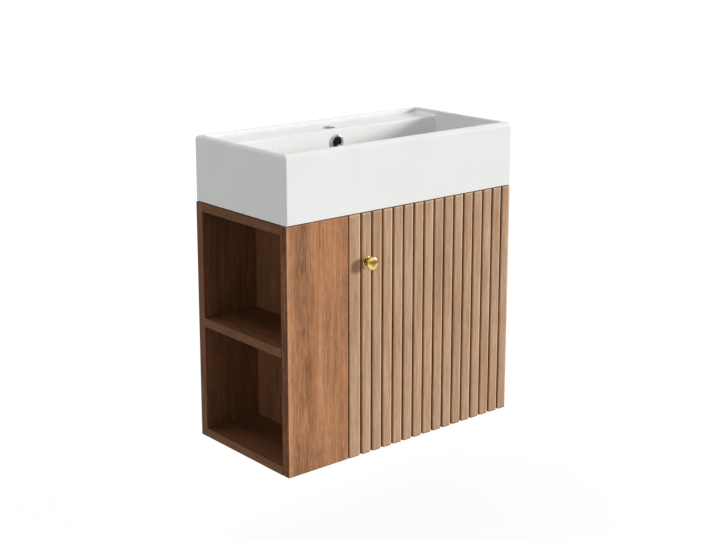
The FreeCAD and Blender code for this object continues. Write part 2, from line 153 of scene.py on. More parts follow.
class Finish(Graph):
    """A material whose colours and relief are nodes."""

    def __init__(self, name):
        self.material = bpy.data.materials.new(name)
        self.material.use_nodes = True
        super().__init__(self.material.node_tree)
        self.tree.nodes.clear()
        self.place = self.node("ShaderNodeTexCoord", out="Object")

    def stretched(self, scale, offset=(0, 0, 0), vector=None):
        """The place of a point, or another vector, scaled along each axis and then moved."""
        source = vector or self.place
        return self.node("ShaderNodeMapping", None, {"Vector": source, "Scale": scale, "Location": offset})

    def noise(self, vector, scale, detail=2.0, roughness=0.5, distortion=0.0):
        return self.node("ShaderNodeTexNoise", None, {
            "Vector": vector, "Scale": scale, "Detail": detail,
            "Roughness": roughness, "Distortion": distortion})

    def ramp(self, value, stops):
        return self.node("ShaderNodeValToRGB", {"stops": stops}, {"Fac": value})

    def tint(self, factor, first, second, blend="MIX"):
        """One colour turned into another, or multiplied by it, as far as a factor says."""
        return self.node("ShaderNodeMix", {"data_type": "RGBA", "blend_type": blend},
                         {MIX_FACTOR: factor, MIX_FIRST: first, MIX_SECOND: second}, out=MIX_COLOUR)

    def smooth(self, value, low, high):
        """0 up to a low value, 1 from a high one, and a soft step between them."""
        return self.node("ShaderNodeMapRange", {"interpolation_type": "SMOOTHSTEP"},
                         {"Value": value, "From Min": low, "From Max": high})

    def relief(self, height, distance, strength):
        return self.node("ShaderNodeBump", None,
                         {"Height": height, "Distance": distance, "Strength": strength})

    def surface(self, **sockets):
        inputs = {key.replace("_", " "): value for key, value in sockets.items()}
        shader = self.node("ShaderNodeBsdfPrincipled", None, inputs)
        self.node("ShaderNodeOutputMaterial", None, {"Surface": shader})
        return self.material


def srgb(red, green, blue):
    """A colour as a paint chart gives it, 0 to 255, turned into linear values by the sRGB formula."""
    parts = [c / 255 for c in (red, green, blue)]
    return tuple(c / 12.92 if c <= 0.04045 else ((c + 0.055) / 1.055) ** 2.4 for c in parts)


print("a mid grey of 128 is", round(srgb(128, 128, 128)[0], 3), "in linear light")

# %% [markdown]
# ### White glaze
# Glazed ceramic is nearly white under a clear glassy coat. The coat follows the clay, which never comes out
# of its mould quite flat, so a very low, wide relief bends the reflections a little.

# %% White glaze
GLAZE_WHITES = [(0.3, srgb(236, 236, 234)), (0.7, srgb(241, 241, 240))]
GLAZE_IOR, WAVE_HEIGHT = 1.5, 0.8 * MM


def white_glaze():
    f = Finish("white_glaze")
    cloud = f.noise(f.place, scale=14, detail=3)
    speck = f.noise(f.place, scale=320, detail=2)
    wave = f.noise(f.place, scale=7, detail=1)
    colour = f.ramp(cloud * 0.8 + speck * 0.2, GLAZE_WHITES)
    return f.surface(Base_Color=colour, Roughness=0.09 + 0.06 * cloud, IOR=GLAZE_IOR,
                     Normal=f.relief(wave + 0.01 * speck, WAVE_HEIGHT, strength=0.35))


glaze = white_glaze()
print("finish", glaze.name)

# %% [markdown]
# ### Grain of the wood
# The cabinet is faced with brown wood. A board is cut from a trunk, so its figure is the cut through growth
# rings: arches where the cut runs close to the heart and fine lines further out. A picture of wood would
# show the same marks on every board. Here the distance from a leaning heart line gives the rings, and noise
# drawn out along the grain gives bands, streaks, fibres, flecks and short dark pores.

# %% Grain
# For each mark: its scale along the grain, then the noise's scale, detail, roughness and distortion.
GRAIN = {
    "band": (0.07, 46, 3, 0.55, 0.4),
    "streak": (0.03, 210, 3, 0.6, 0.3),
    "fibre": (0.015, 760, 3, 0.65, 0.0),
    "mottle": (0.35, 110, 3, 0.6, 0.6),
    "fleck": (0.11, 430, 2, 0.6, 0.0),
    "patch": (0.3, 17, 3, 0.55, 0.8),
    "pore": (0.03, 560, 1, 0.5, 0.0),
}
# For each direction of the grain: the two axes across it, then its own.
AXES = {"X": "ZYX", "Y": "XZY", "Z": "XYZ"}
RINGS_PER_METRE, RING_WAVER = 330, 1.1
HEART_LEAN, HEART_SWAY = 0.045, 10 * MM
CORE_NEAR, CORE_FAR = 5 * MM, 38 * MM


def grain_layers(f, along, place):
    """Noise drawn out along the grain, one layer for each kind of mark."""
    layers = {}
    for mark, (drawn_out, *noise) in GRAIN.items():
        scale = tuple(drawn_out if axis == along else 1.0 for axis in "XYZ")
        layers[mark] = f.noise(f.stretched(scale, vector=place), *noise)
    return layers


def growth_rings(f, part, along, heart, layers):
    """The dark late wood of each ring, and how near a point is to the heart of the tree."""
    across, deep, run = (part[axis] for axis in AXES[along])
    off = across - heart[0] + (layers["band"] - 0.5) * HEART_SWAY
    lean = deep - heart[1] + run * HEART_LEAN
    reach = f.maths("SQRT", off * off + lean * lean)
    growth = f.maths("FRACT", reach * RINGS_PER_METRE + layers["streak"] * RING_WAVER)
    late = f.smooth(growth, 0.45, 0.92) * (1 - f.smooth(growth, 0.92, 1.0))
    core = 1 - f.smooth(f.maths("ABSOLUTE", off), CORE_NEAR, CORE_FAR)
    return late, core


print("marks in the grain", list(GRAIN))

# %% [markdown]
# ### Edges of the wood
# Wood changes near its edges. The lips of the slats carry a painted highlight, most on the right where the
# key catches them, their grooves carry painted shade, and each slat has a tone of its own. A flat sheet
# carries a painted highlight along its rim. These could be painted on by hand, but a soft step in the
# distance from an edge does the same and follows the sizes of the piece.

# %% Edges of the wood
FLUTED_FROM, FLUTED_TO = 5.5 * MM, 6.5 * MM
GROOVE_FROM, GROOVE_TO = 1.8 * MM, 4.0 * MM
# Painted highlights on the slat lips, the right one most, and along a sheet's rim; painted shade in the
# grooves.
RIGHT_LIP_HIGHLIGHT, LEFT_LIP_HIGHLIGHT, TOP_LIP_HIGHLIGHT, RIM_HIGHLIGHT, LEFT_STRIP_HIGHLIGHT = 0.42, 0.16, 0.20, 0.12, 0.14
SLAT_CHANCE, GROOVE_SHADE = 0.06, 0.30


def slat_marks(f, part, slats):
    """Chance for each slat, depth in a groove, and a tone of chance, painted lip highlights and painted
    groove shade.
    """
    depth = part["Y"] - slats["face"]
    fluted = 1 - f.smooth(depth, FLUTED_FROM, FLUTED_TO)
    count = (part["X"] - slats["start"]) / slats["pitch"]
    slat = f.maths("MAXIMUM", f.maths("FLOOR", count), -1.0) * fluted
    chance = f.node("ShaderNodeTexWhiteNoise", {"noise_dimensions": "1D"}, {"W": slat + slats["seed"]})
    groove = f.smooth(depth, GROOVE_FROM, GROOVE_TO) * fluted
    half = slats["half"]
    aside = (f.maths("FRACT", f.maths("MAXIMUM", count, -0.5)) - 0.5) * slats["pitch"]
    right = f.smooth(aside, half - 4.5 * MM, half - 1.5 * MM) * RIGHT_LIP_HIGHLIGHT
    left = f.smooth(0 - aside, half - 3.5 * MM, half - 0.8 * MM) * LEFT_LIP_HIGHLIGHT
    top = (1 - f.smooth(slats["top"] - part["Z"], 1.5 * MM, 4.5 * MM)) * TOP_LIP_HIGHLIGHT
    lips = (right + left + top) * (fluted - groove)
    return chance, groove, (chance - 0.5) * SLAT_CHANCE + lips - groove * GROOVE_SHADE


def painted_rim_highlight(f, part, low, high):
    """Painted highlight along the rim of a sheet, most at its left, but none on the left end itself."""
    left, right = part["X"] - low.x, high.x - part["X"]
    below, above = part["Z"] - low.z, high.z - part["Z"]
    nearest = f.maths("MINIMUM", f.maths("MINIMUM", left, right), f.maths("MINIMUM", below, above))
    rim = (1 - f.smooth(nearest, 0.8 * MM, 3.5 * MM)) * RIM_HIGHLIGHT
    painted_highlight = rim + (1 - f.smooth(left, 3 * MM, 12 * MM)) * LEFT_STRIP_HIGHLIGHT
    return painted_highlight * f.smooth(left, 0.1 * MM, 0.9 * MM)


print("lips of a slat are paler by", RIGHT_LIP_HIGHLIGHT, "at the right and", LEFT_LIP_HIGHLIGHT, "at the left")

# %% [markdown]
# ### Wood
# One tone from dark to pale adds up everything above, and a ramp of three colours turns it into wood. Redder
# patches are multiplied in afterwards, because no board has one hue, and so is a warmer tint in the grooves,
# which paints the light that bounces between their walls. Chance moves the figure of each slat, so that its
# lines don't run on in the next one. A board may also have an end of another tone, which on the front panel
# is painted shade, and a painted shadow line along its lower edge.

# %% Wood
SWING = {"band": 0.65, "streak": 0.60, "fibre": 0.90, "mottle": 0.32, "fleck": 1.2}
PORE_SHADE, PATCH_TONE, FOOT_SHADE = 0.10, 0.34, 0.45
CORE_SHADE, LATE_SHADE, LATE_NEAR_CORE, LATE_MEAN = 0.22, 0.10, 0.05, 0.25
# The second hue here is a painted warm tint of light bouncing between the groove walls.
PATCH_HUE, GROOVE_BOUNCE_TINT = (1.0, 0.84, 0.74, 1), (1.0, 0.92, 0.62, 1)
WOOD_SPECULAR, GRAIN_DEPTH = 0.12, 0.12 * MM
MOVED_ACROSS, MOVED_ALONG = 0.7, 5.0


def wood(name, along, tones, heart, contrast=1.0, rings=1.0, redness=0.5,
         slats=None, sheet=None, end=None, foot=None):
    """A wood finish. Tones are its dark, middle and pale colours, heart is a place on the axes across.

    Slats, sheet, end and foot say where the edges lie that change its tone.
    """
    f = Finish(name)
    place = f.place
    part = {axis: f.node("ShaderNodeSeparateXYZ", None, {"Vector": place}, out=axis) for axis in "XYZ"}
    if slats:
        chance, groove, slat_tone = slat_marks(f, part, slats)
        shift = f.node("ShaderNodeCombineXYZ", None, {"X": chance * MOVED_ACROSS, "Z": chance * MOVED_ALONG})
        place = f.node("ShaderNodeVectorMath", {"operation": "ADD"}, {0: place, 1: shift})
    layers = grain_layers(f, along, place)
    streak, fibre = layers["streak"], layers["fibre"]
    patch = f.smooth(layers["patch"], 0.38, 0.64) * redness
    pore = f.smooth(layers["pore"], 0.60, 0.72)
    late, core = growth_rings(f, part, along, heart, layers)
    swung = {mark: (layers[mark] - 0.5) * weight for mark, weight in SWING.items()}
    figure = swung["band"] + swung["streak"] + swung["fibre"] + swung["mottle"] + swung["fleck"] * redness
    tone = 0.5 + figure * contrast - PORE_SHADE * pore + (patch - 0.5 * redness) * PATCH_TONE
    if slats:
        tone = tone + slat_tone
    tone = tone - rings * (core * CORE_SHADE + (late - LATE_MEAN) * (LATE_SHADE + LATE_NEAR_CORE * core))
    if sheet:
        # The rim of a sheet gets a painted highlight.
        tone = tone + painted_rim_highlight(f, part, *sheet)
    # An end of another tone; on the front panel it is painted shade.
    if end:
        edge, change = end
        tone = tone + (1 - f.smooth(part["X"] - edge, 0.1 * MM, 0.9 * MM)) * change
    # A painted shadow line along the lower edge.
    if foot is not None:
        tone = tone - (1 - f.smooth(part["Z"] - foot, 1.0 * MM, 2.6 * MM)) * FOOT_SHADE
    colour = f.ramp(tone, [(stop, srgb(*shade)) for stop, shade in zip((0.0, 0.5, 1.0), tones)])
    colour = f.tint(patch, colour, PATCH_HUE, "MULTIPLY")
    if slats:
        # Painted warm bounce light in the grooves.
        colour = f.tint(groove, colour, GROOVE_BOUNCE_TINT, "MULTIPLY")
    relief = f.relief(0.6 * fibre + 0.4 * streak - 0.8 * pore, GRAIN_DEPTH, strength=0.6)
    return f.surface(Base_Color=colour, Roughness=0.60 - 0.2 * (streak - 0.5),
                     Specular_IOR_Level=WOOD_SPECULAR, Normal=relief)


print("marks that swing the tone", SWING)

# %% [markdown]
# ### Finishes of the boards
# The front panel and the right side are a warm mid brown. The boards inside and the back are darker, which is
# painted shade for the dim niche. The grain runs another way in the upright boards, the lying ones and the
# niche, so the carcass has one finish for each direction. The left end of the front panel is darker as
# painted shade, the inner face of the right side is darker than the faces that show, and the ends of the
# niche boards are paler.

# %% Finishes of the boards
# The carcass and back tones are darker than the face tones as painted shade for the dim niche.
FACE_TONES = ((98, 60, 35), (172, 122, 86), (212, 164, 124))
SHADED_CARCASS_TONES = ((60, 37, 22), (110, 74, 49), (143, 102, 72))
SHADED_BACK_TONES = ((66, 41, 26), (122, 83, 58), (154, 112, 82))
CARCASS_HEARTS = {"Y": (-0.22, -0.1), "Z": (0.05, -0.15), "X": (0.2, -0.1)}
# The first end tone is painted shade on the front panel's left end.
FACE_END_SHADE, CARCASS_END, SIDE_END = -0.46, 0.14, -0.38
front_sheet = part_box("niche_front_panel")
left_end, lower_edge = front_sheet[0].x, front_sheet[0].z
face_wood = wood("face_wood", "Z", FACE_TONES, (-0.257, -0.315), rings=0.5, sheet=front_sheet,
                 end=(left_end, FACE_END_SHADE), foot=lower_edge)
back_wood = wood("back_wood", "Z", SHADED_BACK_TONES, (0.05, -0.15), contrast=0.8, rings=0.4)
shaded_carcass_wood = {}
for axis, heart in CARCASS_HEARTS.items():
    shaded_carcass_wood[axis] = wood("carcass_wood_" + axis.lower(), axis, SHADED_CARCASS_TONES, heart, contrast=0.8,
                              rings=0.4, end=(left_end, CARCASS_END), foot=lower_edge)
inner_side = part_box("right_side_panel")[0].x
side_wood = wood("side_wood", "Z", FACE_TONES, (0.05, -0.15), contrast=0.9, rings=0.4,
                 end=(inner_side, SIDE_END))
print("finishes", [m.name for m in (face_wood, back_wood, side_wood, *shaded_carcass_wood.values())])

# %% [markdown]
# ### Metals, plastic and rubber
# The metals are plain mirrors of the room until something roughens them. Brushing is noise drawn out along
# the brush strokes, and plating is noise without direction. The plastic and the rubber are dull and slightly
# grainy.

# %% Metals, plastic and rubber
def plated(name, colour, darkening, roughness):
    f = Finish(name)
    cloud = f.noise(f.place, scale=60, detail=4, roughness=0.6)
    scratch = f.noise(f.stretched((1, 1, 0.05)), scale=400, detail=3)
    return f.surface(Base_Color=f.tint(cloud, (*colour, 1), (*darkening, 1)), Metallic=1.0,
                     Roughness=roughness + 0.14 * (scratch - 0.5) + 0.1 * (cloud - 0.5),
                     Normal=f.relief(scratch, 0.02 * MM, strength=0.4))


def dull(name, colour, roughness, grain, depth):
    f = Finish(name)
    speck = f.noise(f.place, scale=grain, detail=3)
    cloud = f.noise(f.place, scale=grain / 40, detail=2)
    shade = tuple(0.8 * c for c in colour)
    return f.surface(Base_Color=f.tint(0.6 * cloud + 0.4 * speck, (*shade, 1), (*colour, 1)),
                     Roughness=roughness + 0.15 * (speck - 0.5),
                     Normal=f.relief(speck, depth, strength=0.5))


BEECH_TONES = ((170, 132, 92), (205, 170, 128), (224, 194, 156))
chrome = plated("chrome", (0.60, 0.605, 0.61), (0.52, 0.525, 0.54), roughness=0.07)
nickel = plated("nickel_plate", (0.66, 0.65, 0.63), (0.55, 0.54, 0.52), roughness=0.26)
zinc = plated("zinc_plate", (0.62, 0.63, 0.66), (0.58, 0.56, 0.48), roughness=0.34)
ferrite = dull("ferrite", (0.05, 0.05, 0.052), roughness=0.55, grain=1500, depth=0.03 * MM)
white_plastic = dull("white_plastic", (0.72, 0.72, 0.70), roughness=0.42, grain=1800, depth=0.03 * MM)
sealant = dull("dark_sealant", (0.030, 0.024, 0.020), roughness=0.62, grain=900, depth=0.05 * MM)
clear_rubber = dull("clear_rubber", (0.55, 0.55, 0.53), roughness=0.38, grain=700, depth=0.05 * MM)
beech = wood("plain_beech", "X", BEECH_TONES, (0.3, -0.3), contrast=0.8)
print("finishes", len(bpy.data.materials))

# %% [markdown]
# ## Plain mesh objects
# Three kinds of shape cover most of the unit: flat boards, turned pieces and cut blocks. Their modifiers
# could stay live, but a plain mesh is simpler to check and to export, so each is worked out once and kept.
# After bevels and cuts the flat faces keep flat normals only if each normal is weighted by the size of its
# face.

# %% Plain mesh objects
FACE_SIZE_WEIGHT = 100


def add_object(name, mesh, *materials):
    for material in materials:
        mesh.materials.append(material)
    made = bpy.data.objects.new(name, mesh)
    bpy.context.scene.collection.objects.link(made)
    return made


def evaluated(source, name, *materials):
    """A plain mesh object of what the modifiers make. The source goes."""
    graph = bpy.context.evaluated_depsgraph_get()
    mesh = bpy.data.meshes.new_from_object(source.evaluated_get(graph))
    mesh.materials.clear()
    old = source.data
    bpy.data.objects.remove(source)
    if old.users == 0:
        bpy.data.meshes.remove(old)
    return add_object(name, mesh, *materials)


def soften(made, angle=35):
    """Smooth shading that leaves flat faces flat. Bends past an angle in degrees stay sharp."""
    made.data.shade_smooth()
    made.data.set_sharp_from_angle(angle=math.radians(angle))
    weigh = made.modifiers.new("weigh", "WEIGHTED_NORMAL")
    weigh.keep_sharp = True
    weigh.weight = FACE_SIZE_WEIGHT
    return evaluated(made, made.name, *made.data.materials)


print("object helpers ready")

# %% [markdown]
# ## Edges, welds and ties
# No edge of a made thing is quite sharp, so a bevel eases the edges that are picked for it. Cuts and imported
# solids leave points that coincide, and those are welded, because a gap would spoil the shading. Last, each
# piece is tied to the body that it moves with, and the solid that it stands for is hidden.

# %% Edges, welds and ties
TOUCH = 1e-6


def bevel(shape, edges, radius, segments):
    bmesh.ops.bevel(shape, geom=edges, offset=radius, offset_type="OFFSET", segments=segments, profile=0.5,
                    affect="EDGES", clamp_overlap=False, miter_outer="SHARP", miter_inner="SHARP")


def to_mesh(shape, name):
    mesh = bpy.data.meshes.new(name)
    bmesh.ops.recalc_face_normals(shape, faces=shape.faces)
    shape.to_mesh(mesh)
    shape.free()
    return mesh


def merged(mesh, name):
    """A copy of a mesh with the points that coincide joined into one."""
    shape = bmesh.new()
    shape.from_mesh(mesh)
    bmesh.ops.remove_doubles(shape, verts=shape.verts, dist=TOUCH)
    bmesh.ops.dissolve_degenerate(shape, edges=shape.edges, dist=TOUCH)
    copy = bpy.data.meshes.new(name)
    shape.to_mesh(copy)
    shape.free()
    return copy


def dress(made, body, node):
    """Ties a finished piece to its body and hides the solid that it stands for."""
    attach(made, body)
    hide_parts(node)
    return made


print("points closer than", TOUCH, "m count as one")

# %% [markdown]
# ## Turned shapes
# Holes, rings and knobs are round about an axis. They could be built from cylinders, but a real edge is never
# sharp, so one outline of distance and radius is rounded at its corners and spun into a mesh. The rounded
# outline also serves as the profile of the basin.

# %% Turned shapes
def rounded(corners, steps=5):
    """Outline points from (distance, radius, rounding) corners. A rounding of 0 keeps the corner sharp."""
    points = []
    for i, (along, radius, rounding) in enumerate(corners):
        here = Vector((along, radius))
        if not rounding:
            points.append(here)
            continue
        back = (Vector(corners[i - 1][:2]) - here).normalized()
        ahead = (Vector(corners[(i + 1) % len(corners)][:2]) - here).normalized()
        half = back.angle(ahead) / 2
        reach = rounding / math.tan(half)
        centre = here + (back + ahead).normalized() * rounding / math.sin(half)
        start, end = here + back * reach - centre, here + ahead * reach - centre
        sweep = start.angle(end)
        for k in range(steps + 1):
            a, b = math.sin(sweep * (1 - k / steps)), math.sin(sweep * k / steps)
            points.append(centre + (start * a + end * b) / math.sin(sweep))
    return points


def spin(shape, outline, origin, direction, closed=False, sides=72):
    """Adds a turned solid to a mesh. A closed outline makes a ring, an open one has its ends on the axis."""
    place = Matrix.Translation(origin) @ Vector(direction).to_track_quat("Z", "Y").to_matrix().to_4x4()
    angles = [2 * math.pi * k / sides for k in range(sides)]
    rings = []
    for along, radius in outline:
        turns = angles if radius > TOUCH else angles[:1]
        rings.append([shape.verts.new(place @ Vector((radius * math.cos(a), radius * math.sin(a), along)))
                      for a in turns])
    pairs = list(zip(rings, rings[1:])) + ([(rings[-1], rings[0])] if closed else [])
    for one, two in pairs:
        for k in range(sides):
            around = [one[k % len(one)], one[(k + 1) % len(one)], two[(k + 1) % len(two)], two[k % len(two)]]
            corners = list(dict.fromkeys(around))
            if len(corners) > 2:
                shape.faces.new(corners)


print("a rounded square corner has", len(rounded([(0, 0, 0), (0, 1, 0.2), (1, 1, 0)])), "points")

# %% [markdown]
# ## The basin
# The basin is one casting: a straight-sided tub with a soft rim, a bowl, and a lowered deck for the tap
# behind it. It could be sculpted, but one profile from the front rim to the back rim tells nearly all of it.
# Copies of the profile are set along the width and joined. Towards each end they are set inwards along a
# quarter circle, and that rounds every inner edge where the bowl and the deck meet the side walls.

# %% Basin profile
basin_low, basin_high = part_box("basin")
RIM = 15 * MM
DECK_DROP = 11 * MM
DECK_THICKNESS = 12 * MM
BOWL_BACK = -81.5 * MM
BOWL_BACK_WALL = 8 * MM
SIDE_ROUND, FLOOR_ROUND, NOSE_ROUND = 6 * MM, 7 * MM, 6 * MM
ROUND_STEPS = 6
BOWL_FLOOR = basin_low.z + 16 * MM
bowl_front = basin_low.y + RIM
deck_level = basin_high.z - DECK_DROP


def bowl_profile(inset):
    """Depth and height along the inside of the basin, set inwards."""
    front, floor = bowl_front + inset, BOWL_FLOOR + inset
    nose, deck, wall = BOWL_BACK - inset, deck_level + inset, basin_high.y - RIM - inset
    hollow, top = FLOOR_ROUND - inset, basin_high.z
    return rounded([(front, top, 0), (front, floor, hollow), (nose, floor, hollow),
                    (nose, deck, NOSE_ROUND + inset), (wall, deck, hollow), (wall, top, 0)], ROUND_STEPS)


def bowl_sections(shape):
    """Rows of corners across the width, from the left wall to the right wall."""
    turns = [math.pi / 2 * k / ROUND_STEPS for k in range(ROUND_STEPS + 1)]
    half = basin_high.x - RIM
    ends = [(half - SIDE_ROUND * (1 - math.sin(t)), SIDE_ROUND * (1 - math.cos(t))) for t in turns]
    places = [(-x, inset) for x, inset in reversed(ends)] + ends
    return [[shape.verts.new((x, y, z)) for y, z in bowl_profile(inset)] for x, inset in places]


print("profile points", len(bowl_profile(0)))

# %% [markdown]
# ## The basin as a block
# The inside alone is a thin sheet. A casting has thick walls, so the rim, the outside, the foot and the
# hollow under the deck are added face by face, and the whole closes into one solid.

# %% Basin block
def rectangle(shape, x, y0, y1, z):
    return [shape.verts.new(p) for p in ((-x, y0, z), (x, y0, z), (x, y1, z), (-x, y1, z))]


def walls(shape, lower, upper):
    for i in range(4):
        after = (i + 1) % 4
        shape.faces.new((lower[i], lower[after], upper[after], upper[i]))


def basin_faces(shape):
    """The basin as faces: inside, rim, outside, and the hollow under the deck."""
    rows = bowl_sections(shape)
    for one, two in zip(rows, rows[1:]):
        for k in range(len(one) - 1):
            shape.faces.new((one[k], one[k + 1], two[k + 1], two[k]))
    shape.faces.new(rows[0])
    shape.faces.new(rows[-1])
    bottom, top = (rectangle(shape, basin_high.x, basin_low.y, basin_high.y, z)
                   for z in (basin_low.z, basin_high.z))
    shape.faces.new([top[0], top[1]] + [row[0] for row in reversed(rows)])
    shape.faces.new([top[1], top[2], rows[-1][-1], rows[-1][0]])
    shape.faces.new([top[2], top[3]] + [row[-1] for row in rows])
    shape.faces.new([top[3], top[0], rows[0][0], rows[0][-1]])
    foot, roof = (rectangle(shape, basin_high.x - RIM, BOWL_BACK + BOWL_BACK_WALL, basin_high.y - RIM, z)
                  for z in (basin_low.z, deck_level - DECK_THICKNESS))
    walls(shape, bottom, top)
    walls(shape, bottom, foot)
    walls(shape, foot, roof)
    shape.faces.new(roof)


block = bmesh.new()
basin_faces(block)
print("basin block faces", len(block.faces))

# %% [markdown]
# ## Edges of the basin
# Glaze runs round every edge. The outer top edge is the softest, the corners less so, and the foot is nearly
# sharp. One Bevel modifier rounds them all, because a weight on each edge scales its width. The inner edge of
# the rim gets a small bevel of its own afterwards.

# %% Basin edges
OUTER_ROUND, OUTER_CORNER, RIM_ROUND, FOOT_ROUND = 9 * MM, 4 * MM, 2 * MM, 1 * MM
OUTER_SEGMENTS, NEARLY = 8, 0.9


def edges_with(shape, test):
    return [e for e in shape.edges if all(test(v.co) for v in e.verts)]


def level(z):
    return lambda p: abs(p.z - z) < TOUCH


def upright(edge):
    a, b = (v.co for v in edge.verts)
    return abs(a.x - b.x) < TOUCH and abs(a.y - b.y) < TOUCH


def from_outside(p):
    """How far a point lies from the nearest outer wall of the basin."""
    return min(p.x - basin_low.x, basin_high.x - p.x, p.y - basin_low.y, basin_high.y - p.y)


def outer_radius(edge):
    """How far an outer edge is rounded, by whether it lies along the top, along the foot or between."""
    heights = [v.co.z for v in edge.verts]
    if min(heights) > basin_high.z - TOUCH:
        return OUTER_ROUND
    if max(heights) < basin_low.z + TOUCH:
        return FOOT_ROUND
    return OUTER_CORNER


def at_inner_rim(p):
    return level(basin_high.z)(p) and from_outside(p) > RIM * NEARLY


weights = block.edges.layers.float.new("bevel_weight_edge")
for edge in edges_with(block, lambda p: from_outside(p) < TOUCH):
    edge[weights] = outer_radius(edge) / OUTER_ROUND
holder = add_object("basin_block", to_mesh(block, "basin_block"))
rounding = holder.modifiers.new("rounding", "BEVEL")
rounding.limit_method = "WEIGHT"
rounding.width = OUTER_ROUND
rounding.segments = OUTER_SEGMENTS
holder = evaluated(holder, "basin_block")

block = bmesh.new()
block.from_mesh(holder.data)
bevel(block, edges_with(block, at_inner_rim), RIM_ROUND, segments=4)
holder.data.clear_geometry()
block.to_mesh(holder.data)
block.free()
print("basin faces", len(holder.data.polygons))

# %% [markdown]
# ## Holes in the basin
# The deck has one hole for the tap, the floor has the seat for a waste, and the back wall of the bowl has the
# overflow. Each is a turned cutter that flares at the surface, because glaze rounds every lip. A Boolean
# takes all of them out in one go, and the points that it leaves on top of each other are welded.

# %% Holes in the basin
TAP_RADIUS, TAP_FROM_WALL = 16 * MM, 52 * MM
WASTE_RADIUS, SEAT_RADIUS, SEAT_DEPTH = 23 * MM, 33 * MM, 3 * MM
SLEEVE_RADIUS, OVERFLOW_DROP = 13.2 * MM, 39 * MM
LIP, SLEEVE_LIP, LIP_STEPS, OVER = 0.8 * MM, 0.5 * MM, 5, 2 * MM
UP, OUT = (0, 0, 1), (0, -1, 0)
tap = Vector((0, -TAP_FROM_WALL, deck_level))
waste = Vector((0, (bowl_front + BOWL_BACK) / 2, BOWL_FLOOR))
seat = waste - Vector((0, 0, SEAT_DEPTH))
overflow = Vector((0, BOWL_BACK, basin_high.z - OVERFLOW_DROP))


def flared(radius, depth, lip):
    """A cutter that goes down from the surface at 0 and opens out there by its lip."""
    turns = [math.pi / 2 * k / LIP_STEPS for k in range(LIP_STEPS + 1)]
    curve = [(-lip + lip * math.sin(t), radius + lip - lip * math.cos(t)) for t in turns]
    return [(-depth, 0), (-depth, radius)] + curve + [(OVER, radius + lip), (OVER, 0)]


cutters = bmesh.new()
spin(cutters, flared(TAP_RADIUS, DECK_THICKNESS + OVER, LIP), tap, UP)
spin(cutters, flared(SEAT_RADIUS, SEAT_DEPTH, LIP), waste, UP)
spin(cutters, flared(WASTE_RADIUS, BOWL_FLOOR - basin_low.z - SEAT_DEPTH + OVER, LIP), seat, UP)
spin(cutters, flared(SLEEVE_RADIUS, BOWL_BACK_WALL + OVER, SLEEVE_LIP), overflow, OUT)
cutter = add_object("basin_cutters", to_mesh(cutters, "basin_cutters"))
drill = holder.modifiers.new("drill", "BOOLEAN")
drill.object = cutter
drill.operation = "DIFFERENCE"
drill.solver = "EXACT"
drill.use_self = True
drilled = evaluated(holder, "basin_drilled")
basin = soften(add_object("basin_casting", merged(drilled.data, "basin_casting"), glaze))
for spent in (drilled, cutter):
    bpy.data.objects.remove(spent)
dress(basin, "cabinet", "basin")
print("basin faces", len(basin.data.polygons))

# %% [markdown]
# ## The overflow ring
# A chrome ring lines the overflow hole. It is one turned piece with a sleeve behind its flange, drawn as a
# closed outline so that the hole stays open.

# %% Overflow ring
RING_RADIUS, RING_BORE, RING_FLANGE, RING_ROUND = 17 * MM, 11.75 * MM, 3 * MM, 1.3 * MM
ring_outline = rounded([
    (-BOWL_BACK_WALL, RING_BORE, 0), (-BOWL_BACK_WALL, SLEEVE_RADIUS, 0), (0, SLEEVE_RADIUS, 0),
    (0, RING_RADIUS, 0), (RING_FLANGE, RING_RADIUS, RING_ROUND), (RING_FLANGE, RING_BORE, RING_ROUND)])
ring_shape = bmesh.new()
spin(ring_shape, ring_outline, overflow, OUT, closed=True)
ring = soften(add_object("overflow_ring_turned", to_mesh(ring_shape, "overflow_ring_turned"), chrome))
dress(ring, "cabinet", "overflow_ring")
print("ring faces", len(ring.data.polygons))

# %% [markdown]
# ## The boards
# The cabinet is plain boards joined at their edges. Their arrises are eased by about half a millimetre, and
# more on the front panel, which catches a thin line of light and leaves a fine groove at every joint. The
# grain runs up the upright boards and along the lying ones.

# %% Boards
ARRIS, FRONT_ARRIS = 0.6 * MM, 1.5 * MM


def board(node, finish):
    low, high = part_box(node)
    shape = bmesh.new()
    size = Matrix.Diagonal((*(high - low), 1))
    bmesh.ops.create_cube(shape, size=1, matrix=Matrix.Translation((low + high) / 2) @ size)
    bevel(shape, shape.edges[:], FRONT_ARRIS if finish is face_wood else ARRIS, segments=4)
    made = soften(add_object(node + "_eased", to_mesh(shape, node), finish), angle=60)
    return dress(made, "cabinet", node)


BOARDS = {
    "niche_front_panel": face_wood,
    "right_side_panel": side_wood,
    "divider_panel": shaded_carcass_wood["Z"],
    "cabinet_bottom_panel": shaded_carcass_wood["X"],
    "front_rail": shaded_carcass_wood["X"],
    "niche_bottom_panel": shaded_carcass_wood["Y"],
    "niche_shelf": shaded_carcass_wood["Y"],
    "niche_top_panel": shaded_carcass_wood["Y"],
}
boards = [board(node, finish) for node, finish in BOARDS.items()]
print("boards", len(boards))

# %% [markdown]
# ## Recipes for what repeats
# Geometry Nodes suit pieces that repeat, such as the grooves of the door and the screws. The class below
# makes a tree with named inputs. Each use sets the inputs, lets the tree run once and keeps the result as a
# plain mesh.

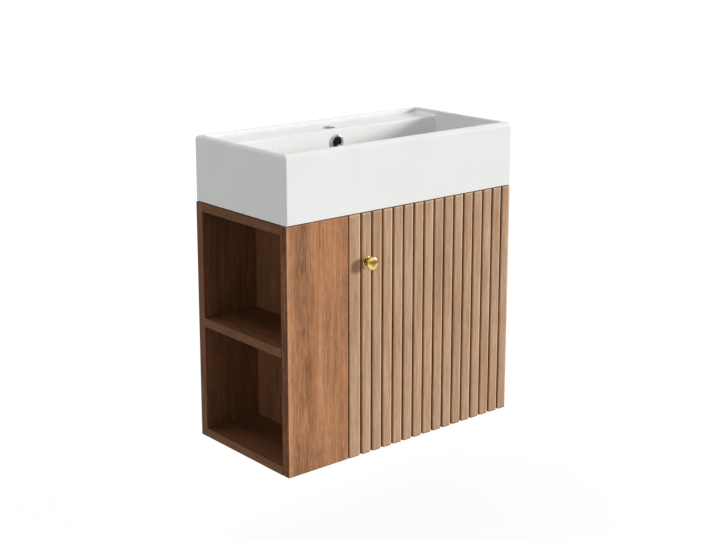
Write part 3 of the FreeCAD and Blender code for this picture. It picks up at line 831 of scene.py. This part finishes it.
# %% Recipe class
class Recipe(Graph):
    """A Geometry Nodes tree with named inputs."""

    KINDS = {float: "NodeSocketFloat", int: "NodeSocketInt", Vector: "NodeSocketVector",
             bpy.types.Material: "NodeSocketMaterial"}

    def __init__(self, name, **sizes):
        super().__init__(bpy.data.node_groups.new(name, "GeometryNodeTree"))
        sockets = self.tree.interface
        sockets.new_socket("Geometry", in_out="INPUT", socket_type="NodeSocketGeometry")
        sockets.new_socket("Geometry", in_out="OUTPUT", socket_type="NodeSocketGeometry")
        self.keys = {}
        for label, value in sizes.items():
            kind = next(kind for held, kind in self.KINDS.items() if isinstance(value, held))
            self.keys[label] = sockets.new_socket(label, in_out="INPUT", socket_type=kind).identifier
        self.entry = self.tree.nodes.new("NodeGroupInput")
        self.sizes = sizes

    def given(self, label):
        return Link(self, self.entry.outputs[label])

    def vector(self, x=0.0, y=0.0, z=0.0):
        return self.node("ShaderNodeCombineXYZ", None, {"X": x, "Y": y, "Z": z})

    def moved(self, geometry, place, turn=(0, 0, 0)):
        return self.node("GeometryNodeTransform", None,
                         {"Geometry": geometry, "Translation": place, "Rotation": turn})

    def without(self, body, *cuts):
        return self.node("GeometryNodeMeshBoolean", {"operation": "DIFFERENCE", "solver": "EXACT"},
                         {"Mesh 1": body, "Mesh 2": list(cuts)})

    def copies(self, points, piece, **inputs):
        return self.node("GeometryNodeInstanceOnPoints", None,
                         {"Points": points, "Instance": piece, **inputs})

    def realized(self, geometry):
        return self.node("GeometryNodeRealizeInstances", None, {"Geometry": geometry})

    def ends_in(self, geometry):
        painted = self.node("GeometryNodeSetMaterial", None,
                            {"Geometry": self.realized(geometry), "Material": self.given("Finish")})
        self.node("NodeGroupOutput", None, {"Geometry": painted})

    def run(self, name, points=(), **changed):
        """A plain mesh object made by the tree from points and sizes."""
        mesh = bpy.data.meshes.new(name)
        mesh.from_pydata([tuple(p) for p in points], [], [])
        source = bpy.data.objects.new(name + "_points", mesh)
        recipe = source.modifiers.new("recipe", "NODES")
        recipe.node_group = self.tree
        values = {**self.sizes, **changed}
        for label, value in values.items():
            recipe[self.keys[label]] = value
        bpy.context.scene.collection.objects.link(source)
        return evaluated(source, name, values["Finish"])


print("recipe class ready")

# %% [markdown]
# ## The fluted door
# The door is one board with upright grooves that leave a row of slats, and two round pockets in its back for
# the hinge cups. The slats could be separate strips, but a router cuts such a front from one board, and so
# does the tree: it copies one cutter along a line and takes all the copies out in one go.

# %% Door sizes and finish
door_low, door_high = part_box("door_panel")
GROOVE, GROOVE_DEPTH, SLAT = 6 * MM, 5 * MM, 21.9 * MM
CUP_RADIUS, CUP_DEPTH, CUP_EDGE, HINGE_END = 17.6 * MM, 13.1 * MM, 2.5 * MM, 90 * MM
CUP_SIDES, SLAT_SEED = 64, 11
SLAT_TONES = ((110, 68, 36), (186, 149, 118), (230, 203, 176))
pitch = SLAT + GROOVE
groove_count = int((door_high.x - door_low.x - SLAT) / pitch)
first_groove = door_high.x - SLAT - GROOVE / 2 - (groove_count - 1) * pitch
door_mid = (door_low + door_high) / 2
slat_sizes = {"start": first_groove, "pitch": pitch, "half": SLAT / 2, "face": door_low.y,
              "top": door_high.z, "seed": SLAT_SEED}
fluted_wood = wood("fluted_wood", "Z", SLAT_TONES, (0.6, -0.9), contrast=0.8, rings=0.4, redness=0.12,
                   foot=door_low.z, slats=slat_sizes)
print("grooves", groove_count, "first groove at", round(first_groove / MM, 2), "mm")

# %% Fluted door
plan = Recipe("fluted_board", Size=door_high - door_low, Middle=door_mid, Grooves=groove_count, Pitch=pitch,
              First=Vector((first_groove, door_low.y, door_mid.z)), Width=GROOVE, Depth=GROOVE_DEPTH,
              Height=door_high.z - door_low.z + 2 * OVER, Cup_radius=CUP_RADIUS, Cup_depth=CUP_DEPTH,
              Cup=Vector((door_high.x - CUP_EDGE - CUP_RADIUS, door_high.y, HINGE_END)),
              Cup_step=door_high.z - 2 * HINGE_END, Finish=fluted_wood)
blank = plan.node("GeometryNodeMeshCube", None, {"Size": plan.given("Size")})
blank = plan.moved(blank, plan.given("Middle"))
line = plan.node("GeometryNodeMeshLine", None,
                 {"Count": plan.given("Grooves"), "Start Location": plan.given("First"),
                  "Offset": plan.vector(x=plan.given("Pitch"))})
bar_size = plan.vector(plan.given("Width"), plan.given("Depth") * 2, plan.given("Height"))
bar = plan.node("GeometryNodeMeshCube", None, {"Size": bar_size})
cup_line = plan.node("GeometryNodeMeshLine", None,
                     {"Count": 2, "Start Location": plan.given("Cup"),
                      "Offset": plan.vector(z=plan.given("Cup_step"))})
pocket = plan.node("GeometryNodeMeshCylinder", None,
                   {"Vertices": CUP_SIDES, "Radius": plan.given("Cup_radius"),
                    "Depth": plan.given("Cup_depth") * 2})
pocket = plan.moved(pocket, (0, 0, 0), (math.pi / 2, 0, 0))
grooves = plan.realized(plan.copies(line, bar))
pockets = plan.realized(plan.copies(cup_line, pocket))
plan.ends_in(plan.without(blank, grooves, pockets))
door = plan.run("fluted_door")
print("door faces", len(door.data.polygons))

# %% [markdown]
# ## Lips of the slats
# The lips of the slats are rounded after the grooves are cut, the long ones most. The door's upright edge at
# the back right is rounded too, so that it clears the side panel as it swings.

# %% Lips of the slats
SLAT_ROUND, DOOR_EDGE_ROUND = 2 * MM, 2 * MM


def at_front(edge):
    return all(abs(v.co.y - door_low.y) < TOUCH for v in edge.verts)


def at_back_right(edge):
    return all(abs(v.co.y - door_high.y) + abs(v.co.x - door_high.x) < TOUCH for v in edge.verts)


shape = bmesh.new()
shape.from_mesh(door.data)
for picked, radius, segments in ((at_front, SLAT_ROUND, 6), (at_back_right, DOOR_EDGE_ROUND, 4)):
    bevel(shape, [e for e in shape.edges if upright(e) and picked(e)], radius, segments)
for z in (door_low.z, door_high.z):
    bevel(shape, edges_with(shape, level(z)), ARRIS, segments=3)
door.data.clear_geometry()
shape.to_mesh(door.data)
shape.free()
door = soften(door)
dress(door, "door", "door_panel")
print("door faces", len(door.data.polygons))

# %% [markdown]
# ## The knob
# The knob is turned from brass: a foot, a slim neck and a round head with a shallow dish. A lathe leaves fine
# rings, so the finish measures how far each point lies from the knob's own axis and draws them there. Hands
# keep the outside bright, while the dish and the neck go darker, and a dark band of painted reflection lies
# across the head.

# %% Brass
knob_low, knob_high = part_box("door_knob")
knob_axis = Vector(((knob_low.x + knob_high.x) / 2, knob_high.y, (knob_low.z + knob_high.z) / 2))
BRASS_DULL, BRASS_BRIGHT, BRASS_DARK_REFLECTION = srgb(168, 128, 52), srgb(236, 208, 132), srgb(112, 86, 24)
POLISH_FROM, POLISH_TO, REFLECTION_HEIGHT, REFLECTION_CORE, REFLECTION_REACH = 3 * MM, 10 * MM, 3 * MM, 1 * MM, 5.5 * MM


def turned_brass():
    f = Finish("turned_brass")
    flat = f.stretched((1, 0, 1), (-knob_axis.x, 0, -knob_axis.z))
    radius = f.node("ShaderNodeVectorMath", {"operation": "LENGTH"}, {0: flat}, out="Value")
    lathe_mark = f.node("ShaderNodeTexNoise", {"noise_dimensions": "1D"},
                        {"W": radius, "Scale": 2600, "Detail": 2})
    cloud = f.noise(f.place, scale=90, detail=3)
    polish = f.smooth(radius + 3 * MM * (cloud - 0.5), POLISH_FROM, POLISH_TO)
    height = f.node("ShaderNodeSeparateXYZ", None, {"Vector": f.place}, out="Z") - knob_axis.z
    # Painted reflection: a dark band across the head, a little above its middle.
    from_reflection = f.maths("ABSOLUTE", height - REFLECTION_HEIGHT + 6 * MM * (cloud - 0.5))
    darkening = 1 - f.smooth(from_reflection, REFLECTION_CORE, REFLECTION_REACH)
    colour = f.tint(polish, (*BRASS_DULL, 1), (*BRASS_BRIGHT, 1))
    colour = f.tint(0.8 * darkening, colour, (*BRASS_DARK_REFLECTION, 1))
    return f.surface(Base_Color=colour, Metallic=1.0,
                     Roughness=0.12 + 0.12 * (lathe_mark - 0.5) + 0.14 * (1 - polish),
                     Normal=f.relief(lathe_mark, 0.03 * MM, strength=0.5))


brass = turned_brass()
print("finish", brass.name, "about an axis at", [round(c / MM, 2) for c in knob_axis])

# %% Knob
FOOT, FOOT_RADIUS, NECK, NECK_RADIUS = 3 * MM, 10.9 * MM, 10 * MM, 5.5 * MM
HEAD, HEAD_RADIUS, DISH, KNOB_LIP = 8 * MM, 13.5 * MM, 1 * MM, 4.5 * MM
KNOB_ROUND, FACE_ROUND, DISH_ROUND = 1.5 * MM, 4 * MM, 0.4 * MM
head_back, head_front = FOOT + NECK, FOOT + NECK + HEAD
knob_outline = rounded([
    (0, 0, 0), (0, FOOT_RADIUS, 0), (FOOT, FOOT_RADIUS, KNOB_ROUND), (FOOT, NECK_RADIUS, KNOB_ROUND),
    (head_back, NECK_RADIUS, KNOB_ROUND), (head_back, HEAD_RADIUS, KNOB_ROUND),
    (head_front, HEAD_RADIUS, FACE_ROUND), (head_front, HEAD_RADIUS - KNOB_LIP, DISH_ROUND),
    (head_front - DISH, 0, 0)])
knob_shape = bmesh.new()
spin(knob_shape, knob_outline, knob_axis, OUT)
knob = soften(add_object("knob_turned", to_mesh(knob_shape, "knob_turned"), brass))
dress(knob, "door", "door_knob")
print("knob faces", len(knob.data.polygons))

# %% [markdown]
# ## Screws
# Every screw has a head, a shank and a cross for the driver. One tree makes them all from a few sizes. The
# places are points, the direction is one turn for the whole set, and a seeded turn about its own axis leaves
# each cross at another angle, as hand-driven screws stand.

# %% Screw recipe
HEAD_SIDES, SHANK_SIDES, SLOT_LENGTH, SLOT_WIDTH = 32, 24, 1.25, 0.26
RANDOM_LOW, RANDOM_HIGH, RANDOM_FLOAT = 2, 3, 1
kit = Recipe("screws", Top=4 * MM, Bottom=2 * MM, Head=2 * MM, Shank=2 * MM, Length=45 * MM, Cross=1.0 * MM,
             Turn=Vector((0, 0, 0)), Seed=7, Finish=zinc)
top, thickness, length = kit.given("Top"), kit.given("Head"), kit.given("Length")
head = kit.node("GeometryNodeMeshCone", None,
                {"Vertices": HEAD_SIDES, "Radius Top": top, "Radius Bottom": kit.given("Bottom"),
                 "Depth": thickness})
head = kit.moved(head, kit.vector(z=0 - thickness))
long_side, short_side = top * SLOT_LENGTH, top * SLOT_WIDTH
slots = [kit.node("GeometryNodeMeshCube", None, {"Size": kit.vector(x, y, kit.given("Cross") * 2)})
         for x, y in ((long_side, short_side), (short_side, long_side))]
head = kit.without(head, *slots)
shank = kit.node("GeometryNodeMeshCylinder", None,
                 {"Vertices": SHANK_SIDES, "Radius": kit.given("Shank"), "Depth": length})
shank = kit.moved(shank, kit.vector(z=0 - thickness - length * 0.5))
screw = kit.node("GeometryNodeJoinGeometry", None, {"Geometry": [head, shank]})
placed = kit.copies(kit.given("Geometry"), screw, Rotation=kit.given("Turn"))
twist = kit.node("FunctionNodeRandomValue", {"data_type": "FLOAT"},
                 {RANDOM_LOW: 0.0, RANDOM_HIGH: math.pi, "Seed": kit.given("Seed")}, out=RANDOM_FLOAT)
kit.ends_in(kit.node("GeometryNodeRotateInstances", None,
                     {"Instances": placed, "Rotation": kit.vector(z=twist)}))
print("screw recipe nodes", len(kit.tree.nodes))

# %% [markdown]
# ## Screws in their places
# Their places and sizes are given in millimetres, as on a drawing, and each set has a seed of its own. A set
# of equal screws is one piece, so that it moves with one body.

# %% Screws in their places
TO_WALL, TO_LEFT = Vector((-math.pi / 2, 0, 0)), Vector((0, -math.pi / 2, 0))
TO_RIGHT = Vector((0, math.pi / 2, 0))
WOOD_SCREW = {"Top": 4, "Bottom": 2, "Head": 2, "Shank": 2}
ARM_SCREW = {"Top": 3.4, "Bottom": 4.5, "Head": 2.5, "Shank": 2.5}
CUP_SCREW = {"Top": 2.95, "Bottom": 1.75, "Head": 1.2, "Shank": 1.75}
STRIKE_SCREW = {"Top": 3.25, "Bottom": 1.75, "Head": 1.5, "Shank": 1.75}
PULL_SCREW = {"Top": 3.2, "Bottom": 4, "Head": 2, "Shank": 2}
CROSS_DEPTH, HINGE_HEIGHTS, PLATE_STEP, CUP_STEP = 0.6, (90, 410), 16, 24


def screws(node, body, points, turn, sizes, length, seed):
    scaled = {label: size * MM for label, size in sizes.items()}
    made = kit.run(node + "_driven", [Vector(p) * MM for p in points], Turn=turn, Seed=seed,
                   Length=(length - sizes["Head"]) * MM, Cross=sizes["Head"] * CROSS_DEPTH * MM, **scaled)
    return dress(soften(made), body, node)


back_places = [(-234.25, 0, z) for z in (9, 249, 491)]
back_places += [(-159.5, 0, z) for z in (50, 370)]
back_places += [(x, 0, 9) for x in (-100.5, 232)]
plate_places = [(279, -240.5, h + step) for h in HINGE_HEIGHTS for step in (-PLATE_STEP, PLATE_STEP)]
arm_places = [(274, -229.5, h) for h in HINGE_HEIGHTS]
catch_places = [(-136.5, y, 422) for y in (-266, -250)]
cup_places = [(273, -278.8, h + step) for h in HINGE_HEIGHTS for step in (-CUP_STEP, CUP_STEP)]
strike_places = [(-140.5, -278.5, 422)]
pull_places = [(knob_axis.x / MM, -278, knob_axis.z / MM)]
screw_sets = [
    screws("back_panel_screws", "cabinet", back_places, TO_WALL, WOOD_SCREW, length=45, seed=1),
    screws("hinge_plate_screws", "cabinet", plate_places, TO_LEFT, WOOD_SCREW, length=14, seed=2),
    screws("hinge_arm_screws", "cabinet", arm_places, TO_LEFT, ARM_SCREW, length=8, seed=3),
    screws("catch_screws", "cabinet", catch_places, TO_RIGHT, WOOD_SCREW, length=23, seed=4),
    screws("hinge_cup_screws", "door", cup_places, TO_WALL, CUP_SCREW, length=9, seed=5),
    screws("strike_screw", "door", strike_places, TO_WALL, STRIKE_SCREW, length=11.5, seed=6),
    screws("knob_screw", "door", pull_places, TO_WALL, PULL_SCREW, length=31, seed=8),
]
print("screw sets", {o.name: len(o.data.polygons) for o in screw_sets})

# %% [markdown]
# ## Hinges, catch and buffers
# The pressed and cast fittings keep the shapes of their solids. Those solids arrive as loose triangles, so
# copies are merged and shaded smooth across their bends. The rubber buffers are turned again with a domed
# face. The back, the dowels, the sealant and the catch keep their solids and get a finish.

# %% Fittings
DOME_RADIUS, DOME_ROUND = 0.9, 0.6
HINGE_BODIES = {"cup": "door", "pin": "door", "arm": "cabinet", "plate": "cabinet"}


def smoothed(node, body, finish):
    mesh = merged(nodes[node].data, node)
    return dress(soften(add_object(node + "_smooth", mesh, finish), angle=30), body, node)


fittings = [smoothed("hinge_" + kind + "_" + place, body, nickel)
            for kind, body in HINGE_BODIES.items() for place in ("upper", "lower")]
fittings.append(smoothed("catch_strike", "door", nickel))
buffer_low, buffer_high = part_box("door_buffers")
buffer_radius = (buffer_high.x - buffer_low.x) / 2
thick = buffer_high.y - buffer_low.y
dome = rounded([(0, 0, 0), (0, buffer_radius, 0), (thick, buffer_radius * DOME_RADIUS, thick * DOME_ROUND),
                (thick, 0, 0)])
rubber_shape = bmesh.new()
for z in (buffer_low.z + buffer_radius, buffer_high.z - buffer_radius):
    foot = Vector((buffer_low.x + buffer_radius, buffer_low.y, z))
    spin(rubber_shape, dome, foot, (0, 1, 0), sides=40)
buffers = soften(add_object("buffers_domed", to_mesh(rubber_shape, "buffers_domed"), clear_rubber))
dress(buffers, "door", "door_buffers")
CARRIED = {"back_panel": back_wood, "assembly_dowels": beech, "sealant_bead": sealant,
           "magnet_catch": white_plastic, "catch_magnet": ferrite}
for node, finish in CARRIED.items():
    nodes[node].data.materials.clear()
    nodes[node].data.materials.append(finish)
print("fittings", len(fittings), "carried over", len(CARRIED))

# %% [markdown]
# ## The floor
# The unit hangs, so the floor lies well below it, at the height where the rim would be comfortable to wash
# at. The floor looks white to the camera and to mirrors, which a bright lamp could also do, but then the unit
# would be too bright. So it glows only for those rays, and to all other light it is grey paint.

# %% Floor
RIM_HEIGHT, FLOOR_REACH, GLOW_STRENGTH = 0.85, 8.0, 1.10
FLOOR_GREYS = [(0.3, (0.49, 0.49, 0.49)), (0.7, (0.51, 0.51, 0.51))]
GLOW_BELOW, GLOW_FROM, GLOW_TO = 0.86, 0.5, 2.2
WHITE = (1, 1, 1, 1)
FLOOR_LEVEL = basin_high.z - RIM_HEIGHT


def seen(graph):
    """1 for what the camera sees straight, in a mirror or through glass."""
    kinds = ("Camera", "Glossy", "Transmission")
    rays = [graph.node("ShaderNodeLightPath", out="Is " + kind + " Ray") for kind in kinds]
    return graph.maths("MINIMUM", rays[0] + rays[1] + rays[2], 1.0)


def pale_floor():
    """Grey paint that glows for what sees it, a little less near the unit, so that its shadow shows."""
    f = Finish("pale_floor")
    tone = f.ramp(f.noise(f.place, scale=3, detail=2), FLOOR_GREYS)
    paint = f.node("ShaderNodeBsdfPrincipled", None,
                   {"Base Color": tone, "Roughness": 1.0, "Specular IOR Level": 0.0})
    glow = f.node("ShaderNodeEmission", None, {"Color": WHITE, "Strength": GLOW_STRENGTH})
    flat = f.stretched((1, 1, 0))
    reach = f.node("ShaderNodeVectorMath", {"operation": "LENGTH"}, {0: flat}, out="Value")
    factor = seen(f) * (GLOW_BELOW + (1 - GLOW_BELOW) * f.smooth(reach, GLOW_FROM, GLOW_TO))
    both_shaders = f.node("ShaderNodeMixShader", None, {0: factor, 1: paint, 2: glow})
    f.node("ShaderNodeOutputMaterial", None, {"Surface": both_shaders})
    return f.material


ground = bmesh.new()
bmesh.ops.create_grid(ground, x_segments=1, y_segments=1, size=FLOOR_REACH,
                      matrix=Matrix.Translation((0, 0, FLOOR_LEVEL)))
floor = add_object("floor", to_mesh(ground, "floor"), pale_floor())
print("floor at", round(FLOOR_LEVEL, 3), "m")

# %% [markdown]
# ## The light
# The world is white to the camera and to mirrors as the floor is, and dim to all else. The light that falls
# on the unit comes from a key far off at the right, a broad panel above and behind, one at the left, a tall
# one in front, and from the floor, which throws some of it back up. The key stands far enough forward that
# the white right side keeps its tone. The tall panel reaches into the bowl's shadow, and it is left out of
# mirrors, so that it leaves no glare on the glaze.

# %% Light
AMBIENT = 0.14
MIDDLE, KEY_SPREAD = Vector((0, -0.15, 0.35)), math.radians(13)
world = bpy.data.worlds.new("studio")
world.use_nodes = True
studio = Graph(world.node_tree)
studio.tree.nodes.clear()
brightness = AMBIENT + (1 - AMBIENT) * seen(studio)
sky = studio.node("ShaderNodeBackground", None, {"Color": WHITE, "Strength": brightness})
studio.node("ShaderNodeOutputWorld", None, {"Surface": sky})
bpy.context.scene.world = world


def lamp(name, place, energy, size=None):
    """A soft panel of a size, or without one a far lamp whose light is even all over."""
    data = bpy.data.lights.new(name, "AREA" if size else "SUN")
    data.energy = energy
    if size:
        data.shape = "RECTANGLE"
        data.size, data.size_y = size
    else:
        data.angle = KEY_SPREAD
    made = bpy.data.objects.new(name, data)
    made.location = place
    made.rotation_euler = (MIDDLE - Vector(place)).to_track_quat("-Z", "Y").to_euler()
    bpy.context.scene.collection.objects.link(made)
    return made


lamps = [lamp("key", place=(8.10, -5.66, 2.24), energy=3.22),
         lamp("top", place=(0.0, 2.0, 6.0), energy=176, size=(4.4, 3.6)),
         lamp("left", place=(-5.0, -1.0, 1.4), energy=54, size=(3.0, 3.0)),
         lamp("front", place=(0.4, -6.0, 1.25), energy=47, size=(3.2, 2.8))]
lamps[-1].visible_glossy = False
print("lamps", {made.name: made.data.energy for made in lamps})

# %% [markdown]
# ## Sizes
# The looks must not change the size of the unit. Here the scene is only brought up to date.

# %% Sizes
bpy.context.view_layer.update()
